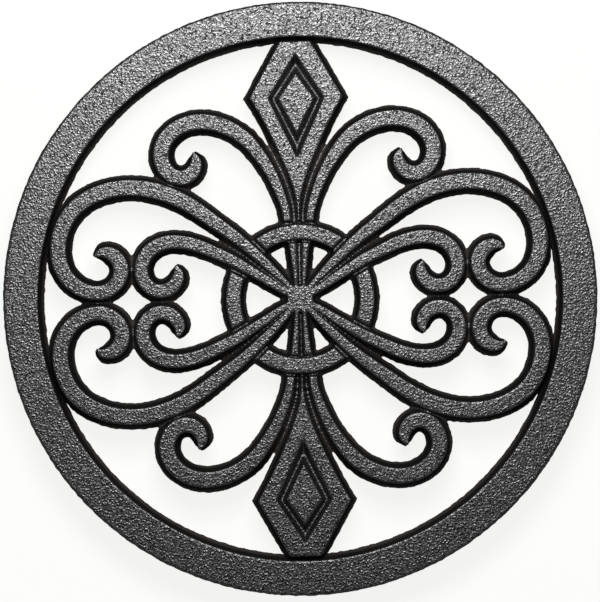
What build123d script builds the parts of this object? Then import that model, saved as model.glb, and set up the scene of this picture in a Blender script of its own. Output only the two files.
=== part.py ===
from build123d import *
import os
from math import cos, radians, sin, tan

# Round cast-iron trivet: an openwork plate of scrolls inside a flat rim, standing on four short
# legs with rubber caps. Millimetres. The origin is at the middle of the face it stands on, +Z is
# up, the two spears point along Y, and the plate is symmetric about X = 0 and Y = 0.
# The iron is poured in one piece; here it is divided along its grooves into the members that a
# pattern maker would name. Each member is cut by the neighbours that it runs into, so they meet
# face to face.

# Driving sizes
PLATE_DIAMETER = 190.0        # over the rim, at its underside
PLATE_THICKNESS = 8.0
OVERALL_HEIGHT = 20.0
DRAFT_ANGLE = 13.4            # sand-casting draft on the flanks, degrees
TIP_DRAFT_SHARE = 0.4         # the beak that ends a scroll has steeper sides
RIM_TOP_INNER_RADIUS = 83.5
RIM_TOP_OUTER_RADIUS = 94.2
RING_TOP_INNER_RADIUS = 19.0
RING_TOP_OUTER_RADIUS = 23.6
RING_END_GAP = 1.8            # V-groove between an arc of the hub ring and the bar beside it
HUB_TOP_RADIUS = 4.0

LEG_CENTRE_RADIUS = 87.3
LEG_TIP_DIAMETER = 7.0
LEG_ROOT_DIAMETER = 8.2
CAP_DIAMETER = 10.4
CAP_HEIGHT = 8.0
CAP_FLOOR = 2.0
CAP_EDGE_ROUND = 0.8

GROOVE_DEPTH = 3.0            # V-groove round the raised diamond of each spear
GROOVE_FLANK_RUN = 1.4        # how far each side of that groove leans in

# Worked out from them
TOP = OVERALL_HEIGHT
BASE = OVERALL_HEIGHT - PLATE_THICKNESS
DRAFT = PLATE_THICKNESS * tan(radians(DRAFT_ANGLE))
RIM_BASE_RADII = (RIM_TOP_INNER_RADIUS - DRAFT, PLATE_DIAMETER / 2)
RING_BASE_RADII = (RING_TOP_INNER_RADIUS - DRAFT, RING_TOP_OUTER_RADIUS + DRAFT)
RING_GROOVE_FLOOR = TOP - RING_END_GAP / 2 / tan(radians(DRAFT_ANGLE))
CUTTER_SIZE = PLATE_DIAMETER

# Each scroll follows a spine through these stations: x, y, width of the top face. They are given
# for the quadrant where x and y are positive; the other three are its mirror images.
LONG_SCROLL = [
    (2.4, 2.9, 1.5), (5.7, 6.5, 2.0), (10, 10.8, 2.8), (15, 15.6, 3.2), (20, 19.9, 3.7),
    (25.5, 24, 4.2), (33, 29.5, 4.7), (41, 33.8, 5.0), (50, 36.2, 5.0), (58, 36.2, 5.0),
    (66, 33.8, 5.0), (72.5, 28.8, 5.0), (76, 22, 5.0), (76.6, 14.5, 4.9), (74, 8.1, 4.7),
    (69, 4.2, 4.5), (63, 3.3, 4.4), (58.4, 6, 4.6), (56.8, 10.5, 4.7), (58.9, 14.9, 4.5),
    (62.5, 16.1, 3.2), (65.2, 14.6, 0.6),
]
SHORT_SCROLL = [
    (3.2, 1.5, 1.5), (6.8, 3.6, 2.2), (10.2, 5.9, 2.7), (15.2, 9, 3.0), (20.1, 12, 3.4),
    (25.2, 14.5, 3.7), (31.2, 17.2, 4.0), (37.2, 18.8, 4.2), (43.3, 18.6, 4.3), (48.3, 15.6, 4.3),
    (50.4, 10.5, 4.3), (49.1, 5.9, 4.2), (45.1, 3.4, 4.2), (40.8, 4.5, 4.3), (38.6, 8, 3.6),
    (39.6, 11.5, 0.6),
]
CREST_SCROLL = [
    (3.6, 24.8, 2.3), (4.2, 29, 2.6), (5.8, 34, 3.0), (8.4, 40, 3.5), (11.8, 45.6, 4.0),
    (16.2, 51, 4.5), (22.2, 55, 4.8), (28, 56.8, 4.9), (35, 56.4, 4.9), (40.6, 53.1, 4.9),
    (43.3, 48.1, 4.9), (42.4, 42.6, 4.8), (38.5, 39.4, 4.6), (34, 40.4, 4.5), (32.2, 43.9, 3.6),
    (33.4, 47.2, 0.6),
]
ROOT_BAR = [(1.15, 3, 0.9), (1.55, 10, 1.5), (2.15, 17.8, 2.3)]

# Right-hand edge of a spear's top face: the end by the rim, the corner, and points down its flank
SPEAR_SHOULDER = (4.9, 81.9)
SPEAR_CORNER = (14.8, 64.2)
SPEAR_FLANK = [(10, 55.5), (5.6, 46), (3.1, 40), (1.2, 34), (0.3, 25)]
GROOVE_OUTER_DIAMOND = (77.9, 63.9, 44.6, 8.9)      # top y, corner y, bottom y, half width
RAISED_DIAMOND = (71.7, 63.7, 52.7, 5.6)

# The mirrors that take the modelled quadrant to each of the four
QUADRANTS = {
    "back_right": [],
    "back_left": [Plane.YZ],
    "front_right": [Plane.XZ],
    "front_left": [Plane.YZ, Plane.XZ],
}
# Directions of the four legs and of the four arcs of the hub ring, degrees from +X
SIDES = {"right": 0, "back": 90, "left": 180, "front": 270}


def biggest(shape):
    """The largest solid of a cut, without the slivers that the cut may leave."""
    return max(shape.solids(), key=lambda solid: solid.volume)


def mirrored(shape, planes):
    for plane in planes:
        shape = mirror(shape, plane)
    return shape


def in_all_quadrants(shape):
    return [mirrored(shape, planes) for planes in QUADRANTS.values()]


def bar_face(stations, spread, height, beaked):
    """A bar's outline at one height, with its sides and its blunt ends moved out by spread."""
    spine = Spline([(x, y) for x, y, width in stations])
    along = [spine.tangent_at((x, y)) for x, y, width in stations]
    middles = [Vector(x, y, height) for x, y, width in stations]
    reaches = [width / 2 + spread for x, y, width in stations]
    middles[0] -= along[0] * spread
    if beaked:
        reaches[-1] -= spread * (1 - TIP_DRAFT_SHARE)
    else:
        middles[-1] += along[-1] * spread
    left = []
    right = []
    for middle, direction, reach in zip(middles, along, reaches):
        sideways = Vector(-direction.Y, direction.X) * reach
        left.append(middle + sideways)
        right.append(middle - sideways)
    outline = [Spline(left), Line(left[-1], right[-1]), Spline(right[::-1]), Line(right[0], left[0])]
    return Face(Wire(outline))


def bar(stations, beaked=True):
    """A drafted bar of iron along the stations, widest at the underside."""
    underside = bar_face(stations, DRAFT, BASE, beaked)
    return loft([underside, bar_face(stations, 0, TOP, beaked)], ruled=True)


def room_beside(stations):
    """What a bar takes from the hub ring, so that a V-groove is left along the bar."""
    floor = bar_face(stations, RING_END_GAP / 2, RING_GROOVE_FLOOR, True)
    return loft([floor, bar_face(stations, RING_END_GAP, TOP, True)], ruled=True)


def drafted_ring(base_radii, top_radii):
    """A ring with these inner and outer radii at its underside and on its top face."""
    section = Polyline(
        (base_radii[0], 0, BASE), (base_radii[1], 0, BASE),
        (top_radii[1], 0, TOP), (top_radii[0], 0, TOP), close=True,
    )
    return revolve(Face(Wire(section.edges())), Axis.Z)


def hub_boss():
    """The drafted disc where the bars cross."""
    boss = Cone(HUB_TOP_RADIUS + DRAFT, HUB_TOP_RADIUS, PLATE_THICKNESS)
    return Pos(0, 0, BASE + PLATE_THICKNESS / 2) * boss


def mitred(point, first_normal, second_normal, spread):
    """A corner of an outline after both of its sides have moved out by spread."""
    return point + (first_normal + second_normal) * (spread / (1 + first_normal.dot(second_normal)))


def spear_face(spread, height):
    """A spear's outline at one height, with its sides and both ends moved out by spread."""
    shoulder = Vector(*SPEAR_SHOULDER, height)
    corner = Vector(*SPEAR_CORNER, height)
    flank = [Vector(x, y, height) for x, y in SPEAR_FLANK]
    curve = Spline([corner] + flank)
    edge_normal = (corner - shoulder).normalized().rotate(Axis.Z, 90)
    flank_normals = [curve.tangent_at(point).rotate(Axis.Z, 90) for point in [corner] + flank]
    shoulder = mitred(shoulder, Vector(0, 1), edge_normal, spread)
    corner = mitred(corner, edge_normal, flank_normals[0], spread)
    flank = [point + normal * spread for point, normal in zip(flank, flank_normals[1:])]
    flank[-1] -= Vector(0, spread)
    right = [shoulder, corner] + flank
    left = [Vector(-point.X, point.Y, point.Z) for point in right]
    outline = [
        Line(right[0], right[1]), Spline(right[1:]), Line(right[-1], left[-1]),
        Spline(left[:0:-1]), Line(left[1], left[0]), Line(left[0], right[0]),
    ]
    return Face(Wire(outline))


def diamond_face(sizes, spread, height):
    """A kite with its sides moved out by spread."""
    top_y, corner_y, bottom_y, half_width = sizes
    corners = [(0, top_y), (half_width, corner_y), (0, bottom_y), (-half_width, corner_y)]
    kite = Face(Wire(Polyline(*corners, close=True).edges()))
    return Pos(0, 0, height) * offset(kite, spread, kind=Kind.INTERSECTION)


def diamond_groove():
    """The iron left out round the raised diamond of a spear."""
    floor = TOP - GROOVE_DEPTH
    outside = loft([diamond_face(GROOVE_OUTER_DIAMOND, -GROOVE_FLANK_RUN, floor),
                    diamond_face(GROOVE_OUTER_DIAMOND, 0, TOP)], ruled=True)
    inside = loft([diamond_face(RAISED_DIAMOND, GROOVE_FLANK_RUN, floor),
                   diamond_face(RAISED_DIAMOND, 0, TOP)], ruled=True)
    return outside - inside


def spear():
    """The lozenge-headed bar between two crest scrolls."""
    return loft([spear_face(DRAFT, BASE), spear_face(0, TOP)], ruled=True) - diamond_groove()


def leg():
    """A short tapered leg under the rim."""
    length = BASE - CAP_FLOOR
    return Pos(0, 0, CAP_FLOOR + length / 2) * Cone(LEG_TIP_DIAMETER / 2, LEG_ROOT_DIAMETER / 2, length)


def foot_cap():
    """The rubber cup pushed over a leg's tip."""
    outside = Pos(0, 0, CAP_HEIGHT / 2) * Cylinder(CAP_DIAMETER / 2, CAP_HEIGHT)
    outside = fillet(outside.edges().filter_by(GeomType.CIRCLE), CAP_EDGE_ROUND)
    return outside - leg()


def make_nodes():
    """Every sub-part by name."""
    quadrant_size = (CUTTER_SIZE, CUTTER_SIZE, CUTTER_SIZE)
    first_quadrant = Box(*quadrant_size, align=(Align.MIN, Align.MIN, Align.CENTER))
    rim = drafted_ring(RIM_BASE_RADII, (RIM_TOP_INNER_RADIUS, RIM_TOP_OUTER_RADIUS))
    ring = drafted_ring(RING_BASE_RADII, (RING_TOP_INNER_RADIUS, RING_TOP_OUTER_RADIUS))
    hub = hub_boss()
    long_scroll = biggest((bar(LONG_SCROLL) & first_quadrant) - rim - hub)
    short_scroll = biggest((bar(SHORT_SCROLL) & first_quadrant) - hub - long_scroll)
    bars = in_all_quadrants(long_scroll) + in_all_quadrants(short_scroll)
    grooves = in_all_quadrants(room_beside(LONG_SCROLL)) + in_all_quadrants(room_beside(SHORT_SCROLL))
    crest_scroll = biggest((bar(CREST_SCROLL) & first_quadrant) - long_scroll - ring)
    root_bar = biggest((bar(ROOT_BAR, beaked=False) & first_quadrant) - long_scroll - hub - ring)
    crests = [crest_scroll, mirror(crest_scroll, Plane.YZ)]
    back_spear = biggest(spear() - crests - ring - rim)
    arcs = (ring - bars - grooves).solids()

    nodes = {"outer_rim": rim, "hub": hub}
    nodes["spear_back"] = back_spear
    nodes["spear_front"] = mirror(back_spear, Plane.XZ)
    for quadrant, planes in QUADRANTS.items():
        nodes["long_scroll_" + quadrant] = mirrored(long_scroll, planes)
        nodes["short_scroll_" + quadrant] = mirrored(short_scroll, planes)
        nodes["crest_scroll_" + quadrant] = mirrored(crest_scroll, planes)
        nodes["root_bar_" + quadrant] = mirrored(root_bar, planes)
    for side, angle in SIDES.items():
        direction = Vector(cos(radians(angle)), sin(radians(angle)))
        place = Pos(direction * LEG_CENTRE_RADIUS)
        nodes["hub_ring_" + side] = max(arcs, key=lambda arc: arc.center().dot(direction))
        nodes["leg_" + side] = place * leg()
        nodes["foot_cap_" + side] = place * foot_cap()
    return nodes


os.makedirs("parts", exist_ok=True)
for name, shape in make_nodes().items():
    export_step(shape, os.path.join("parts", name + ".step"))
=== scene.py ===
"""The finished look of a round cast-iron trivet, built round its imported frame."""

from math import cos, radians, sin

import bmesh
import bpy
import numpy as np
from mathutils import Matrix, Vector, noise


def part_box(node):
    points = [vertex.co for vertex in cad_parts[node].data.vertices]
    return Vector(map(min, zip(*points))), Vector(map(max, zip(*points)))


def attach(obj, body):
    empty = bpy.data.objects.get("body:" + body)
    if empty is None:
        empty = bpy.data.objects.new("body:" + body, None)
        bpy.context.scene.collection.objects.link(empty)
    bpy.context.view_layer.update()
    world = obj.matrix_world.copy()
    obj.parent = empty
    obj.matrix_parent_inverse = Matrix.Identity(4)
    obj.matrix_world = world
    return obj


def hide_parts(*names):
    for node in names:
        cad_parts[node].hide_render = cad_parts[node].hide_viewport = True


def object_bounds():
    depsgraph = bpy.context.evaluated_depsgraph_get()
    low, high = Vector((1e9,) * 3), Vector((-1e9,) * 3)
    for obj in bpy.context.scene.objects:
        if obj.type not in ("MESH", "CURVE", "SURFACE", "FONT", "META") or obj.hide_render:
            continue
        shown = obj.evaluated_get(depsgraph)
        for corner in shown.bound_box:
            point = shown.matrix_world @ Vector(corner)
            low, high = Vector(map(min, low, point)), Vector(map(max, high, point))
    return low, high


bl_info = {
    "name": "Cast-Iron Trivet",
    "version": (1, 0, 0),
    "blender": (4, 5, 0),
    "location": "View3D > Sidebar > Trivet",
    "description": "Builds a sand-cast iron trivet with rubber foot caps, its floor, lights and camera",
    "category": "Object",
}

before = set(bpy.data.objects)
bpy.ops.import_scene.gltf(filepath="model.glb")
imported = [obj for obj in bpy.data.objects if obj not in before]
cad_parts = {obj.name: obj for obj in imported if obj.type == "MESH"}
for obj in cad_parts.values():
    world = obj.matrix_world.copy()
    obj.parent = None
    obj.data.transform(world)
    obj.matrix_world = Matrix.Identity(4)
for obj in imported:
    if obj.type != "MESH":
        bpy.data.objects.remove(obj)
CAD_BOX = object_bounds()

MM = 0.001
CAP_NODES = sorted(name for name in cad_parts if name.startswith("foot_cap_"))
RIM_NODES = sorted(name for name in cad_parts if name.startswith(("outer_rim", "leg_")))
OPENWORK_NODES = sorted(set(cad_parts) - set(CAP_NODES) - set(RIM_NODES))
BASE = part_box("outer_rim")[0].z
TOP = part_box("outer_rim")[1].z
CENTRE = (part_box("outer_rim")[0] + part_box("outer_rim")[1]) / 2

# A cap from the middle of its sole round to the floor of its bore: radius and height, millimetres
CAP_PROFILE = [
    (0, 0.35), (2.9, 0.35), (3.3, 0.1), (3.6, 0.02), (4.5, 0.02), (4.95, 0.2), (5.12, 0.7),
    (5.12, 1.2), (4.98, 5.9), (4.98, 6.2), (5.15, 6.5), (5.15, 7.5), (4.95, 7.85), (4.5, 7.97),
    (4.15, 7.85), (3.95, 7.4), (3.6, 2.3), (3.4, 2), (0, 2),
]
CAP_STEPS = 24

# The flash along the lower edges fades out this share of the way up the flanks
FLASH_SHARE = 1 / 3
# The legs, from this far below the plate, carry no flash
FLASH_DEPTH = 0.5 * MM
WELD_DISTANCE = 0.001 * MM

# Ranges of the iron's finish, each as the two ends of a blend
RUBBED_HEIGHTS = (TOP - 2.5 * MM, TOP - 0.8 * MM)
RUBBED_SLOPES = (0.62, 0.97)            # upward part of the normal
RUBBED_IN_GROOVES = 0.25                # how rubbed the floor of a groove looks
# Painted light: below these heights the flanks turn a lighter warm grey, dust with painted light
# bounced up from the floor
DUST_AND_BOUNCE_HEIGHTS = (BASE + 4 * MM, BASE + 2 * MM)
PATCH_LEVELS = (0.3, 0.7)
RUBBED_ROUGHNESS = (0.16, 0.27)
FLANK_ROUGHNESS = 0.4
PATCH_WEIGHT = 0.35                     # how much the patches decide where grain prints are worn
PIT_LEVELS = (0.62, 0.71)
PIT_DULLNESS = 0.2                      # added to the roughness
PORE_LEVELS = (0.36, 0.42)
PORE_DULLNESS = 0.6

RUBBER_HAZE = 0.6 * MM
RUBBER_HAZE_DEPTH = 0.03 * MM

# Upward part of a direction, where the light from the walls starts and where it ends
WALL_FOOT = (-0.5, -0.2)
WALL_HEAD = (0.3, 0.65)


def linear(hex_colour):
    """An sRGB colour such as #2a2b2c as linear red, green, blue and alpha."""
    channels = [int(hex_colour[i:i + 2], 16) / 255 for i in (1, 3, 5)]
    return [c / 12.92 if c <= 0.04045 else ((c + 0.055) / 1.055) ** 2.4 for c in channels] + [1.0]


def add_node(tree, kind, inputs=None, **settings):
    """Adds a node with its settings; an input given as another node's output is linked."""
    node = tree.nodes.new(kind)
    for name, value in settings.items():
        setattr(node, name, value)
    for name, value in (inputs or {}).items():
        if isinstance(value, bpy.types.NodeSocket):
            tree.links.new(value, node.inputs[name])
        else:
            node.inputs[name].default_value = value
    return node


def new_material(name):
    """A material with an empty tree, and its shader linked to the output."""
    material = bpy.data.materials.new(name)
    material.use_nodes = True
    tree = material.node_tree
    tree.nodes.clear()
    shader = add_node(tree, "ShaderNodeBsdfPrincipled")
    add_node(tree, "ShaderNodeOutputMaterial", {"Surface": shader.outputs[0]})
    return material, tree, shader


class TrivetCasting(bpy.types.PropertyGroup):
    """Sizes and colours of the iron."""

    voxel: bpy.props.FloatProperty(
        name="Voxel", description="Cell that the members are poured together at",
        default=0.28 * MM, unit="LENGTH", precision=5)
    smoothing: bpy.props.IntProperty(
        name="Smoothing", description="Passes that round the cast edges", default=6, min=0)
    flank_hollow: bpy.props.FloatProperty(
        name="Flank hollow", description="How far a flank dips in half way down",
        default=0.25 * MM, unit="LENGTH", precision=5)
    burr: bpy.props.FloatProperty(
        name="Burr", description="Height of the ragged flash along the lower edges",
        default=0.25 * MM, unit="LENGTH", precision=5)
    burr_length: bpy.props.FloatProperty(
        name="Burr length", description="Length of one lump of flash",
        default=1.6 * MM, unit="LENGTH", precision=5)
    kept: bpy.props.FloatProperty(
        name="Kept", description="Share of the triangles that is kept", default=0.35, min=0.01, max=1)
    grain: bpy.props.FloatProperty(
        name="Sand grain", description="Width of one grain print", default=0.65 * MM, unit="LENGTH",
        precision=5)
    grain_depth: bpy.props.FloatProperty(
        name="Grain depth", description="Depth of one grain print", default=0.21 * MM, unit="LENGTH",
        precision=5)
    pore: bpy.props.FloatProperty(
        name="Gas pore", description="Spacing of the dull gas pores", default=0.9 * MM, unit="LENGTH",
        precision=5)
    patch: bpy.props.FloatProperty(
        name="Gloss patch", description="Width of a patch of more or less gloss", default=9 * MM,
        unit="LENGTH")
    enamel: bpy.props.FloatVectorProperty(
        name="Enamel", description="Colour of the black enamel", subtype="COLOR", size=4,
        default=linear("#060607"))
    recess: bpy.props.FloatVectorProperty(
        name="Recess", description="Colour of the unrubbed enamel on the flanks", subtype="COLOR",
        size=4, default=linear("#060606"))
    # Painted light: a lighter warm grey for the foot of the flanks, dust with painted light bounced up
    # from the floor
    dust_and_bounce_light: bpy.props.FloatVectorProperty(
        name="Dust", description="Colour of the dusty foot of the flanks", subtype="COLOR",
        size=4, default=linear("#262220"))


class TrivetCaps(bpy.types.PropertyGroup):
    """Colour of the foot caps."""

    rubber: bpy.props.FloatVectorProperty(
        name="Rubber", description="Colour of the caps", subtype="COLOR", size=4,
        default=linear("#2b2b2b"))


class TrivetStage(bpy.types.PropertyGroup):
    """Floor, lights and camera."""

    camera_height: bpy.props.FloatProperty(
        name="Camera height", description="Above the top face", default=1600 * MM, unit="LENGTH")
    camera_shift: bpy.props.FloatVectorProperty(
        name="Camera shift", description="How far the camera stands off the middle", size=2,
        default=(-0.1 * MM, -0.7 * MM), unit="LENGTH", precision=5)
    camera_roll: bpy.props.FloatProperty(
        name="Camera roll", description="Turn about the line of sight", default=radians(-1.217),
        unit="ROTATION")
    view_length: bpy.props.FloatProperty(
        name="View length", description="Long side of the picture at the top face",
        default=191.4 * MM, unit="LENGTH")
    key_power: bpy.props.FloatProperty(
        name="Key power", description="Watts of the softbox behind the trivet", default=6.2)
    key_size: bpy.props.FloatProperty(
        name="Key size", description="Side of the softbox", default=220 * MM, unit="LENGTH")
    key_distance: bpy.props.FloatProperty(
        name="Key distance", description="From the trivet to the softbox", default=540 * MM,
        unit="LENGTH")
    key_lean: bpy.props.FloatProperty(
        name="Key lean", description="Angle of the softbox from straight above",
        default=radians(22), unit="ROTATION")
    fill: bpy.props.FloatProperty(
        name="Fill", description="Strength of the light from the walls of the room", default=1.2)
    ceiling: bpy.props.FloatProperty(
        name="Ceiling", description="Strength of the light from the ceiling", default=0.02)
    floor_glow: bpy.props.FloatProperty(
        name="Floor glow", description="Light that the floor sheet lets through", default=0.89)
    floor_reach: bpy.props.FloatProperty(
        name="Floor reach", description="From the trivet to the floor's edge", default=3.0,
        unit="LENGTH")
    floor: bpy.props.FloatVectorProperty(
        name="Floor", description="Colour of the floor", subtype="COLOR", size=4,
        default=linear("#474746"))
    floor_light: bpy.props.FloatVectorProperty(
        name="Floor light", description="Colour of the light that comes through the floor",
        subtype="COLOR", size=4, default=linear("#fdfdfc"))


def rubbed_mask(tree, height):
    """One on the open top faces, little on the floors of the grooves and none on the flanks."""
    facing = add_node(tree, "ShaderNodeSeparateXYZ", {
        "Vector": add_node(tree, "ShaderNodeNewGeometry").outputs["Normal"]})
    near_top = add_node(tree, "ShaderNodeMapRange", {
        "Value": height, "From Min": RUBBED_HEIGHTS[0], "From Max": RUBBED_HEIGHTS[1],
        "To Min": RUBBED_IN_GROOVES})
    level = add_node(tree, "ShaderNodeMapRange", {
        "Value": facing.outputs["Z"], "From Min": RUBBED_SLOPES[0], "From Max": RUBBED_SLOPES[1]})
    rubbed = add_node(tree, "ShaderNodeMath", {
        0: near_top.outputs["Result"], 1: level.outputs["Result"]}, operation="MULTIPLY")
    return rubbed.outputs["Value"]


def enamel_colour(tree, height, rubbed, settings):
    """Black on top, blacker on the flanks, and at their feet a lighter warm grey: dust with painted
    light, as if bounced up from the floor.
    """
    # Painted light: the foot of the flanks is drawn lighter, dust with painted light bounced up from
    # the floor
    dusty_and_bounce_lit = add_node(tree, "ShaderNodeMapRange", {
        "Value": height, "From Min": DUST_AND_BOUNCE_HEIGHTS[0], "From Max": DUST_AND_BOUNCE_HEIGHTS[1]})
    flank = add_node(tree, "ShaderNodeMix", {
        "Factor": dusty_and_bounce_lit.outputs["Result"], "A": settings.recess, "B": settings.dust_and_bounce_light},
        data_type="RGBA")
    colour = add_node(tree, "ShaderNodeMix", {
        "Factor": rubbed, "A": flank.outputs["Result"], "B": settings.enamel}, data_type="RGBA")
    return colour.outputs["Result"]


def enamel_roughness(tree, place, grain, rubbed, settings):
    """Glossy in patches on the worn grain prints, duller in the pits and dullest in gas pores."""
    patches = add_node(tree, "ShaderNodeTexNoise", {
        "Vector": place, "Scale": 1 / settings.patch, "Detail": 4.0, "Roughness": 0.65})
    gloss = add_node(tree, "ShaderNodeMapRange", {
        "Value": patches.outputs["Fac"], "From Min": PATCH_LEVELS[0], "From Max": PATCH_LEVELS[1],
        "To Min": RUBBED_ROUGHNESS[0], "To Max": RUBBED_ROUGHNESS[1]})
    worn = add_node(tree, "ShaderNodeMath", {
        0: patches.outputs["Fac"], 1: PATCH_WEIGHT, 2: grain}, operation="MULTIPLY_ADD")
    pits = add_node(tree, "ShaderNodeMapRange", {
        "Value": worn.outputs["Value"], "From Min": PIT_LEVELS[0], "From Max": PIT_LEVELS[1],
        "To Min": PIT_DULLNESS, "To Max": 0.0})
    gas = add_node(tree, "ShaderNodeTexNoise", {
        "Vector": place, "Scale": 1 / settings.pore, "Detail": 1.0})
    pores = add_node(tree, "ShaderNodeMapRange", {
        "Value": gas.outputs["Fac"], "From Min": PORE_LEVELS[0], "From Max": PORE_LEVELS[1],
        "To Min": PORE_DULLNESS, "To Max": 0.0})
    dull = add_node(tree, "ShaderNodeMath", {
        0: pits.outputs["Result"], 1: pores.outputs["Result"]}, operation="ADD")
    pitted = add_node(tree, "ShaderNodeMath", {
        0: gloss.outputs["Result"], 1: dull.outputs["Value"]}, operation="ADD")
    roughness = add_node(tree, "ShaderNodeMix", {
        "Factor": rubbed, "A": FLANK_ROUGHNESS, "B": pitted.outputs["Value"]})
    return roughness.outputs["Result"]


def enamelled_sand_casting(settings):
    """Black enamel over sand-cast iron: a satin skin that prints every grain of the mould, so that
    the light breaks into specks. The prints are drawn a little coarser than real ones, to show."""
    material, tree, shader = new_material("black_enamel_on_sand_cast_iron")
    place = add_node(tree, "ShaderNodeTexCoord").outputs["Object"]
    height = add_node(tree, "ShaderNodeSeparateXYZ", {"Vector": place}).outputs["Z"]
    grain = add_node(tree, "ShaderNodeTexNoise", {
        "Vector": place, "Scale": 1 / settings.grain, "Detail": 1.0, "Roughness": 0.6}).outputs["Fac"]
    rubbed = rubbed_mask(tree, height)
    bump = add_node(tree, "ShaderNodeBump", {
        "Height": grain, "Distance": settings.grain_depth, "Strength": 1.0})
    colour = enamel_colour(tree, height, rubbed, settings)
    roughness = enamel_roughness(tree, place, grain, rubbed, settings)
    tree.links.new(colour, shader.inputs["Base Color"])
    tree.links.new(roughness, shader.inputs["Roughness"])
    tree.links.new(bump.outputs["Normal"], shader.inputs["Normal"])
    return material


def moulded_rubber(settings):
    """Black moulded rubber: matt, a little grey, with a fine haze from the mould."""
    material, tree, shader = new_material("moulded_black_rubber")
    place = add_node(tree, "ShaderNodeTexCoord").outputs["Object"]
    haze = add_node(tree, "ShaderNodeTexNoise", {"Vector": place, "Scale": 1 / RUBBER_HAZE})
    bump = add_node(tree, "ShaderNodeBump", {
        "Height": haze.outputs["Fac"], "Distance": RUBBER_HAZE_DEPTH, "Strength": 0.6})
    shader.inputs["Base Color"].default_value = settings.rubber
    shader.inputs["Roughness"].default_value = 0.72
    tree.links.new(bump.outputs["Normal"], shader.inputs["Normal"])
    return material


def joined_copy(names):
    """One mesh holding a copy of every named CAD node."""
    points = []
    triangles = []
    for name in names:
        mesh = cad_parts[name].data
        mesh.calc_loop_triangles()
        start = len(points)
        points += [vertex.co[:] for vertex in mesh.vertices]
        triangles += [[start + i for i in t.vertices] for t in mesh.loop_triangles]
    joined = bpy.data.meshes.new("joined")
    joined.from_pydata(points, [], triangles)
    return joined


def with_modifier(mesh, kind, **settings):
    """The mesh after one modifier."""
    carrier = bpy.data.objects.new("carrier", mesh)
    bpy.context.scene.collection.objects.link(carrier)
    modifier = carrier.modifiers.new(kind, kind)
    for name, value in settings.items():
        setattr(modifier, name, value)
    graph = bpy.context.evaluated_depsgraph_get()
    result = bpy.data.meshes.new_from_object(carrier.evaluated_get(graph))
    bpy.data.objects.remove(carrier)
    return result


def shaped_flanks(mesh, settings):
    """Hollows the flanks and roughens the lower edges with flash."""
    count = len(mesh.vertices)
    points = np.empty(count * 3)
    normals = np.empty(count * 3)
    mesh.vertices.foreach_get("co", points)
    mesh.vertex_normals.foreach_get("vector", normals)
    points = points.reshape(-1, 3)
    normals = normals.reshape(-1, 3)
    level = np.clip((points[:, 2] - BASE) / (TOP - BASE), 0, 1)
    sideways = np.hypot(normals[:, 0], normals[:, 1])
    hollow = settings.flank_hollow * np.sin(np.pi * level) * sideways
    ragged = np.array([noise.noise(Vector(p) / settings.burr_length) for p in points])
    low = np.clip(1 - level / FLASH_SHARE, 0, 1) * (points[:, 2] > BASE - FLASH_DEPTH)
    push = settings.burr * ragged * low * sideways - hollow
    outward = normals * [1, 1, 0]
    points += outward * push[:, None]
    points = np.clip(points, CAD_BOX[0], CAD_BOX[1])
    mesh.vertices.foreach_set("co", points.ravel())
    mesh.update()


def lathe(profile, steps):
    """A closed mesh turned about +Z from a profile of radii and heights in millimetres."""
    turned = bmesh.new()
    points = [turned.verts.new((radius * MM, 0, height * MM)) for radius, height in profile]
    edges = [turned.edges.new(pair) for pair in zip(points, points[1:])]
    bmesh.ops.spin(turned, geom=points + edges, axis=(0, 0, 1), angle=radians(360), steps=steps)
    bmesh.ops.remove_doubles(turned, verts=turned.verts, dist=WELD_DISTANCE)
    bmesh.ops.recalc_face_normals(turned, faces=turned.faces)
    mesh = bpy.data.meshes.new("lathe")
    turned.to_mesh(mesh)
    turned.free()
    return mesh


def add_piece(name, mesh, material, nodes):
    """Adds a finished piece in place of the CAD nodes that it stands for."""
    mesh.shade_smooth()
    mesh.materials.clear()
    mesh.materials.append(material)
    piece = bpy.data.objects.new(name, mesh)
    bpy.context.scene.collection.objects.link(piece)
    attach(piece, "root")
    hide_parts(*nodes)
    return piece


class TRIVET_OT_casting(bpy.types.Operator):
    """Pour the iron members together and finish their surface"""

    bl_idname = "trivet.casting"
    bl_label = "Iron casting"

    def execute(self, context):
        settings = context.scene.trivet_casting
        iron = enamelled_sand_casting(settings)
        for name, nodes in (("rim_casting", RIM_NODES), ("openwork_casting", OPENWORK_NODES)):
            mesh = joined_copy(nodes)
            mesh = with_modifier(mesh, "REMESH", mode="VOXEL", voxel_size=settings.voxel)
            mesh = with_modifier(mesh, "SMOOTH", factor=0.5, iterations=settings.smoothing)
            shaped_flanks(mesh, settings)
            mesh = with_modifier(mesh, "DECIMATE", ratio=settings.kept)
            add_piece(name, mesh, iron, nodes)
        return {"FINISHED"}


class TRIVET_OT_caps(bpy.types.Operator):
    """Turn the rubber caps and push them over the legs"""

    bl_idname = "trivet.caps"
    bl_label = "Rubber caps"

    def execute(self, context):
        rubber = moulded_rubber(context.scene.trivet_caps)
        turned = lathe(CAP_PROFILE, CAP_STEPS)
        for node in CAP_NODES:
            low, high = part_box(node)
            cap = turned.copy()
            cap.transform(Matrix.Translation(((low.x + high.x) / 2, (low.y + high.y) / 2, low.z)))
            cap = with_modifier(cap, "SUBSURF", levels=2, render_levels=2)
            add_piece(node.replace("foot_cap", "rubber_cap"), cap, rubber, [node])
        return {"FINISHED"}


class TRIVET_OT_stage(bpy.types.Operator):
    """Add the floor, the lights and the camera"""

    bl_idname = "trivet.stage"
    bl_label = "Floor, lights and camera"

    def execute(self, context):
        settings = context.scene.trivet_stage
        scene = context.scene
        add_floor(scene, settings)
        add_softbox(scene, settings)
        add_room(scene, settings)
        add_camera(scene, settings)
        return {"FINISHED"}


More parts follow.
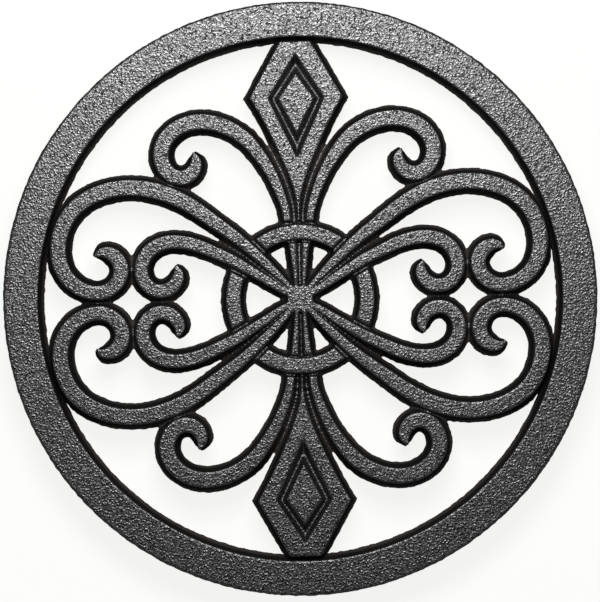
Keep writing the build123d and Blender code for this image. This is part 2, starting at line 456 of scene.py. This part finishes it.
def add_floor(scene, settings):
    """A sheet of white acrylic, lit from below, so that shadows on it stay faint."""
    material, tree, shader = new_material("white_acrylic_sheet")
    shader.inputs["Base Color"].default_value = settings.floor
    shader.inputs["Roughness"].default_value = 0.6
    shader.inputs["Specular IOR Level"].default_value = 0.0
    shader.inputs["Emission Color"].default_value = settings.floor_light
    shader.inputs["Emission Strength"].default_value = settings.floor_glow
    mesh = bpy.data.meshes.new("floor")
    reach = settings.floor_reach
    mesh.from_pydata([(-reach, -reach, 0), (reach, -reach, 0), (reach, reach, 0), (-reach, reach, 0)],
                     [], [(0, 1, 2, 3)])
    mesh.materials.append(material)
    floor = bpy.data.objects.new("floor", mesh)
    floor.visible_glossy = False
    floor.visible_diffuse = False
    scene.collection.objects.link(floor)


def add_softbox(scene, settings):
    """The softbox above and behind the trivet."""
    light = bpy.data.lights.new("softbox", "AREA")
    light.energy = settings.key_power
    light.shape = "SQUARE"
    light.size = settings.key_size
    lamp = bpy.data.objects.new("softbox", light)
    direction = Vector((0, sin(settings.key_lean), cos(settings.key_lean)))
    lamp.location = CENTRE + direction * settings.key_distance
    lamp.rotation_mode = "QUATERNION"
    lamp.rotation_quaternion = direction.to_track_quat("Z", "Y")
    scene.collection.objects.link(lamp)


def add_room(scene, settings):
    """Light from the walls of the room: none from far below and little from the ceiling."""
    world = bpy.data.worlds.new("room")
    world.use_nodes = True
    tree = world.node_tree
    direction = add_node(tree, "ShaderNodeSeparateXYZ", {
        "Vector": add_node(tree, "ShaderNodeTexCoord").outputs["Generated"]})
    above = add_node(tree, "ShaderNodeMapRange", {
        "Value": direction.outputs["Z"], "From Min": WALL_FOOT[0], "From Max": WALL_FOOT[1]})
    walls = add_node(tree, "ShaderNodeMapRange", {
        "Value": direction.outputs["Z"], "From Min": WALL_HEAD[0], "From Max": WALL_HEAD[1],
        "To Min": settings.fill, "To Max": settings.ceiling})
    strength = add_node(tree, "ShaderNodeMath", {0: above.outputs[0], 1: walls.outputs[0]},
                        operation="MULTIPLY")
    backdrop = tree.nodes["Background"]
    backdrop.inputs["Color"].default_value = linear("#f4f4f4")
    tree.links.new(strength.outputs[0], backdrop.inputs["Strength"])
    scene.world = world
    scene.view_settings.view_transform = "Standard"


def add_camera(scene, settings):
    """A long lens straight above the trivet."""
    camera = bpy.data.cameras.new("camera")
    camera.sensor_width = 36
    camera.lens = camera.sensor_width * settings.camera_height / settings.view_length
    eye = bpy.data.objects.new("camera", camera)
    eye.location = (*settings.camera_shift, TOP + settings.camera_height)
    eye.rotation_euler = (0, 0, settings.camera_roll)
    scene.collection.objects.link(eye)
    scene.camera = eye


class TRIVET_PT_panel(bpy.types.Panel):
    """Lists the trivet's builders"""

    bl_idname = "TRIVET_PT_panel"
    bl_label = "Trivet"
    bl_space_type = "VIEW_3D"
    bl_region_type = "UI"
    bl_category = "Trivet"

    def draw(self, context):
        for operator in (TRIVET_OT_casting, TRIVET_OT_caps, TRIVET_OT_stage):
            self.layout.operator(operator.bl_idname)


CLASSES = (
    TrivetCasting, TrivetCaps, TrivetStage,
    TRIVET_OT_casting, TRIVET_OT_caps, TRIVET_OT_stage, TRIVET_PT_panel,
)


def register():
    for cls in CLASSES:
        bpy.utils.register_class(cls)
    bpy.types.Scene.trivet_casting = bpy.props.PointerProperty(type=TrivetCasting)
    bpy.types.Scene.trivet_caps = bpy.props.PointerProperty(type=TrivetCaps)
    bpy.types.Scene.trivet_stage = bpy.props.PointerProperty(type=TrivetStage)


def unregister():
    del bpy.types.Scene.trivet_stage
    del bpy.types.Scene.trivet_caps
    del bpy.types.Scene.trivet_casting
    for cls in reversed(CLASSES):
        bpy.utils.unregister_class(cls)


def main():
    register()
    bpy.ops.trivet.casting()
    bpy.ops.trivet.caps()
    bpy.ops.trivet.stage()


if __name__ == "__main__":
    main()
